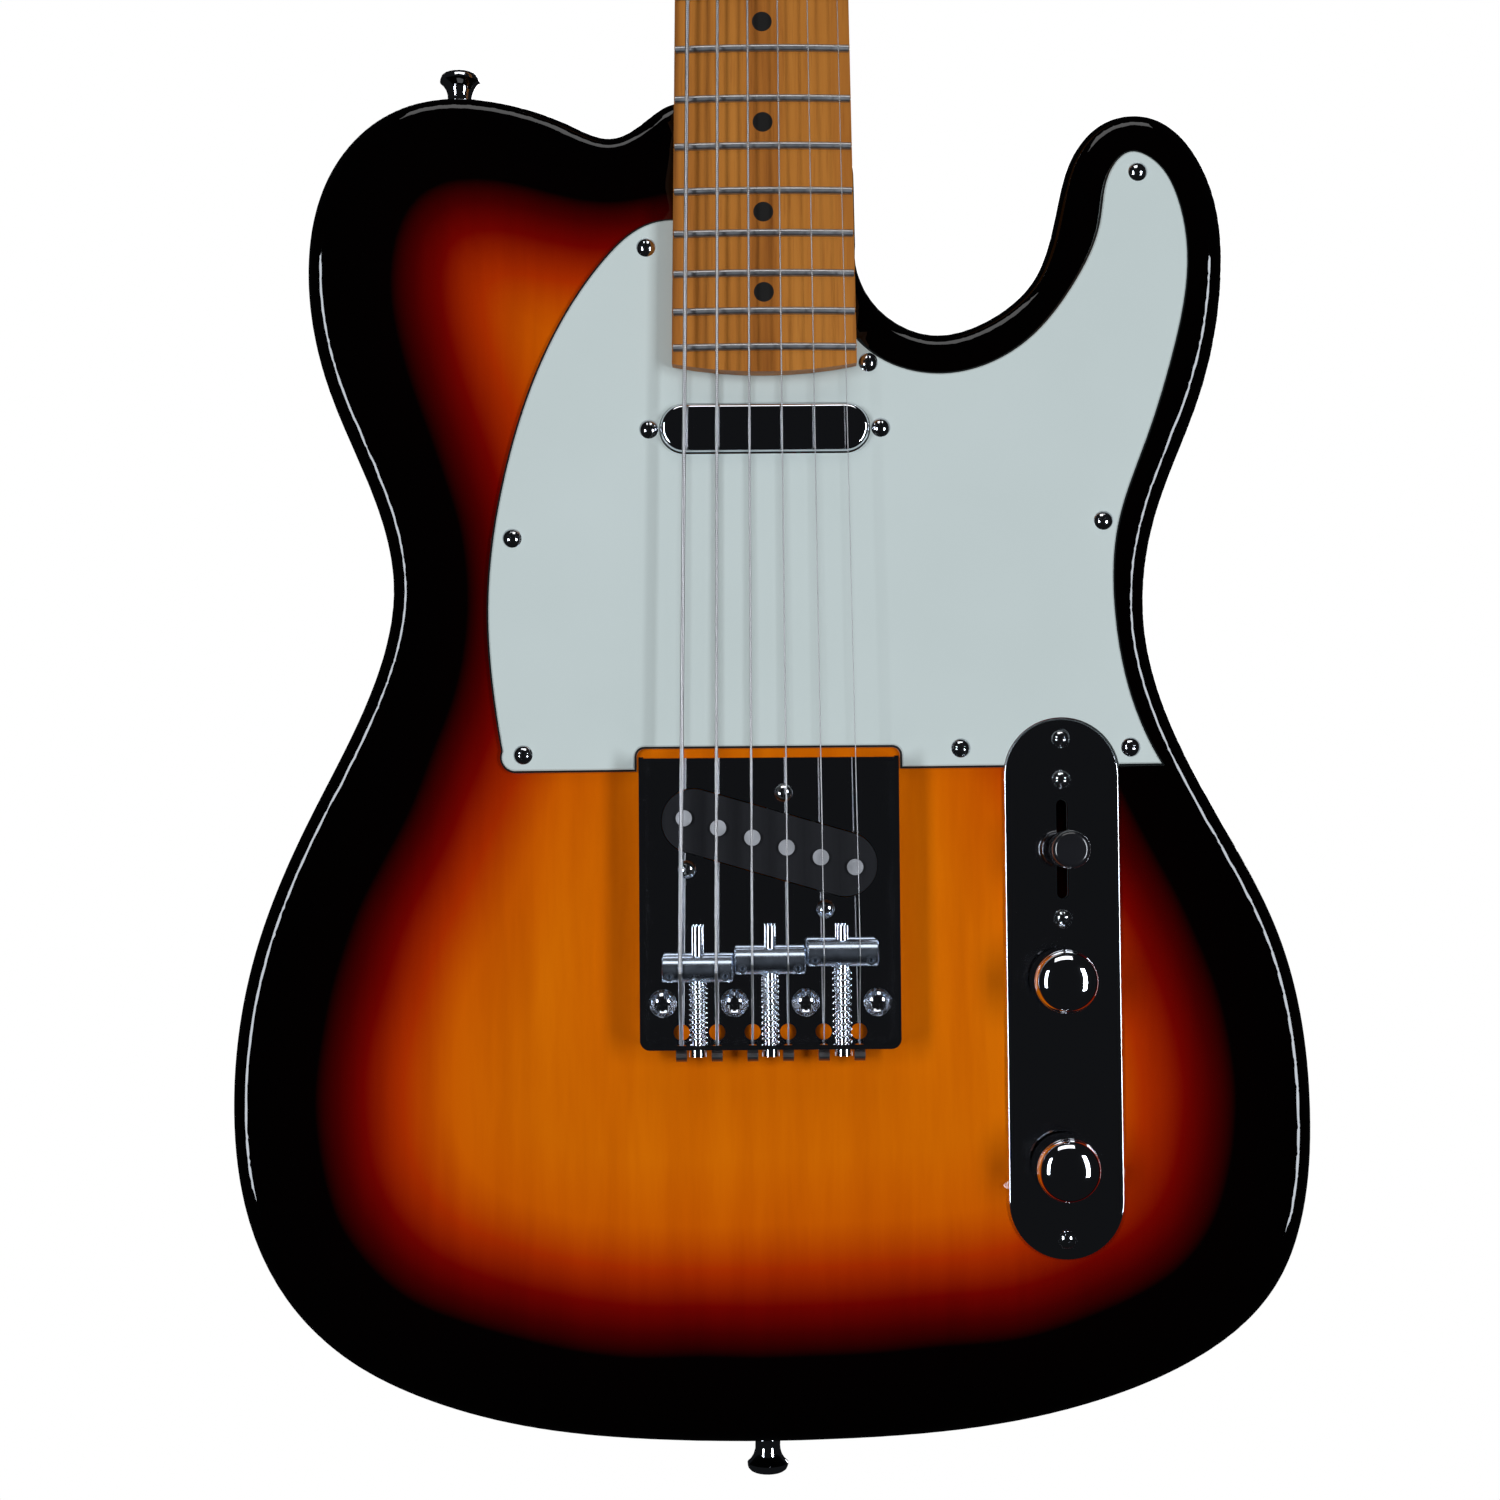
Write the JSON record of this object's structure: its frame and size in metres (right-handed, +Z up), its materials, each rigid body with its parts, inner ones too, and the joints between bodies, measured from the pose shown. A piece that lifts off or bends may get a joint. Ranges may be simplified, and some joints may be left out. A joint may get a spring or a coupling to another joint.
{
  "type": "electric guitar",
  "caption": "Solid-body electric guitar with single cutaway, bolt-on maple neck, three-saddle bridge, slanted pickup and sunburst finish.",
  "frame": {"origin": "on the flat back face of the body, on the neck's centreline, at the bridge end of the scale length", "axes": "+Z up the neck to the headstock, +Y out of the back, -Y out of the front, +X to the treble side"},
  "size_m": [0.3261, 0.0701, 0.9923],
  "materials": {
    "sunburst_wood": "gloss three-colour burst",
    "roasted_maple": "satin",
    "fret_wire": "polished",
    "black_inlay": "flush",
    "bone": "polished",
    "tool_steel": "plain",
    "chrome": "mirror",
    "screw_chrome": "polished",
    "mint_laminate": "three-ply with dark core",
    "black_fibre": "satin",
    "copper_coil": "enamelled",
    "alnico": "ground",
    "plated_base": "plated",
    "saddle_steel": "polished",
    "spring_steel": "bright",
    "string_nickel": "bright",
    "zinc_case": "plated",
    "nut_nickel": "polished",
    "shaft_steel": "plain",
    "black_plastic": "moulded",
    "jack_nickel": "plated",
    "wire_cloth": "waxed",
    "post_steel": "polished"
  },
  "bodies": {
    "guitar": {"body": "sunburst_wood", "neck": "roasted_maple", "fretboard": "roasted_maple", "frets": "fret_wire", "position_dots": "black_inlay", "string_nut": "bone", "truss_rod": "tool_steel", "neck_plate": "chrome", "neck_pickup_cover": "chrome", "bridge_plate": "chrome", "control_plate": "chrome", "jack_plate": "chrome", "strap_buttons": "chrome", "tuner_housings": "chrome", "tuner_bushings": "chrome", "string_trees": "chrome", "neck_screws": "screw_chrome", "cover_screws": "screw_chrome", "pickup_screws": "screw_chrome", "bridge_screws": "screw_chrome", "intonation_screws": "screw_chrome", "headstock_screws": "screw_chrome", "strap_screws": "screw_chrome", "pickguard": "mint_laminate", "pickup_bobbins": "black_fibre", "pickup_coils": "copper_coil", "pickup_magnets": "alnico", "pickup_baseplates": "plated_base", "saddle_spring_bass": "spring_steel", "strings_bass": "string_nickel", "saddle_spring_middle": "spring_steel", "strings_middle": "string_nickel", "saddle_spring_treble": "spring_steel", "strings_treble": "string_nickel", "pot_cases": "zinc_case", "switch_frame": "zinc_case", "threaded_nuts": "nut_nickel", "output_jack": "jack_nickel", "wiring": "wire_cloth"},
    "volume_control": {"volume_knob": "chrome", "volume_shaft": "shaft_steel"},
    "tone_control": {"tone_knob": "chrome", "tone_shaft": "shaft_steel"},
    "selector": {"selector_lever": "shaft_steel", "selector_tip": "black_plastic"},
    "bass_saddle": {"saddle_bass": "saddle_steel"},
    "middle_saddle": {"saddle_middle": "saddle_steel"},
    "treble_saddle": {"saddle_treble": "saddle_steel"},
    "tuner_key_1": {"tuner_button_1": "chrome"},
    "tuner_spindle_1": {"tuner_post_1": "post_steel"},
    "tuner_key_2": {"tuner_button_2": "chrome"},
    "tuner_spindle_2": {"tuner_post_2": "post_steel"},
    "tuner_key_3": {"tuner_button_3": "chrome"},
    "tuner_spindle_3": {"tuner_post_3": "post_steel"},
    "tuner_key_4": {"tuner_button_4": "chrome"},
    "tuner_spindle_4": {"tuner_post_4": "post_steel"},
    "tuner_key_5": {"tuner_button_5": "chrome"},
    "tuner_spindle_5": {"tuner_post_5": "post_steel"},
    "tuner_key_6": {"tuner_button_6": "chrome"},
    "tuner_spindle_6": {"tuner_post_6": "post_steel"}
  },
  "joints": [
    {"name": "volume_turn", "type": "hinge", "parent": "guitar", "child": "volume_control", "pos_m": [0.0868, -0.045, -0.0076], "axis": [0, -1, 0], "range_deg": [-140, 140]},
    {"name": "tone_turn", "type": "hinge", "parent": "guitar", "child": "tone_control", "pos_m": [0.0868, -0.045, -0.0624], "axis": [0, -1, 0], "range_deg": [-140, 140]},
    {"name": "selector_tilt", "type": "hinge", "parent": "guitar", "child": "selector", "pos_m": [0.0883, -0.029, 0.031], "axis": [1, 0, 0], "range_deg": [-25, 25]},
    {"name": "bass_saddle_slide", "type": "slide", "parent": "guitar", "child": "bass_saddle", "axis": [0, 0, 1], "range_m": [-0.003, 0.003], "deforming": ["saddle_spring_bass", "strings_bass"]},
    {"name": "middle_saddle_slide", "type": "slide", "parent": "guitar", "child": "middle_saddle", "axis": [0, 0, 1], "range_m": [-0.003, 0.003], "deforming": ["saddle_spring_middle", "strings_middle"]},
    {"name": "treble_saddle_slide", "type": "slide", "parent": "guitar", "child": "treble_saddle", "axis": [0, 0, 1], "range_m": [-0.003, 0.003], "deforming": ["saddle_spring_treble", "strings_treble"]},
    {"name": "key_1_turn", "type": "hinge", "parent": "guitar", "child": "tuner_key_1", "pos_m": [-0.0184, -0.0291, 0.69271], "axis": [-0.9695, 0, 0.2451], "continuous": true},
    {"name": "post_1_turn", "type": "hinge", "parent": "guitar", "child": "tuner_spindle_1", "pos_m": [-0.0201, -0.0474, 0.686], "axis": [0, -1, 0], "continuous": true},
    {"name": "key_2_turn", "type": "hinge", "parent": "guitar", "child": "tuner_key_2", "pos_m": [-0.01208, -0.0291, 0.71771], "axis": [-0.9695, 0, 0.2451], "continuous": true},
    {"name": "post_2_turn", "type": "hinge", "parent": "guitar", "child": "tuner_spindle_2", "pos_m": [-0.01378, -0.0474, 0.711], "axis": [0, -1, 0], "continuous": true},
    {"name": "key_3_turn", "type": "hinge", "parent": "guitar", "child": "tuner_key_3", "pos_m": [-0.00576, -0.0291, 0.74271], "axis": [-0.9695, 0, 0.2451], "continuous": true},
    {"name": "post_3_turn", "type": "hinge", "parent": "guitar", "child": "tuner_spindle_3", "pos_m": [-0.00746, -0.0474, 0.736], "axis": [0, -1, 0], "continuous": true},
    {"name": "key_4_turn", "type": "hinge", "parent": "guitar", "child": "tuner_key_4", "pos_m": [0.00056, -0.0291, 0.76771], "axis": [-0.9695, 0, 0.2451], "continuous": true},
    {"name": "post_4_turn", "type": "hinge", "parent": "guitar", "child": "tuner_spindle_4", "pos_m": [-0.00114, -0.0474, 0.761], "axis": [0, -1, 0], "continuous": true},
    {"name": "key_5_turn", "type": "hinge", "parent": "guitar", "child": "tuner_key_5", "pos_m": [0.00688, -0.0291, 0.79271], "axis": [-0.9695, 0, 0.2451], "continuous": true},
    {"name": "post_5_turn", "type": "hinge", "parent": "guitar", "child": "tuner_spindle_5", "pos_m": [0.00518, -0.0474, 0.786], "axis": [0, -1, 0], "continuous": true},
    {"name": "key_6_turn", "type": "hinge", "parent": "guitar", "child": "tuner_key_6", "pos_m": [0.0132, -0.0291, 0.81771], "axis": [-0.9695, 0, 0.2451], "continuous": true},
    {"name": "post_6_turn", "type": "hinge", "parent": "guitar", "child": "tuner_spindle_6", "pos_m": [0.0115, -0.0474, 0.811], "axis": [0, -1, 0], "continuous": true}
  ],
  "couplings": [
    {"joint": "post_1_turn", "follows": "key_1_turn", "ratio": 0.066667},
    {"joint": "post_2_turn", "follows": "key_2_turn", "ratio": 0.066667},
    {"joint": "post_3_turn", "follows": "key_3_turn", "ratio": 0.066667},
    {"joint": "post_4_turn", "follows": "key_4_turn", "ratio": 0.066667},
    {"joint": "post_5_turn", "follows": "key_5_turn", "ratio": 0.066667},
    {"joint": "post_6_turn", "follows": "key_6_turn", "ratio": 0.066667}
  ]
}
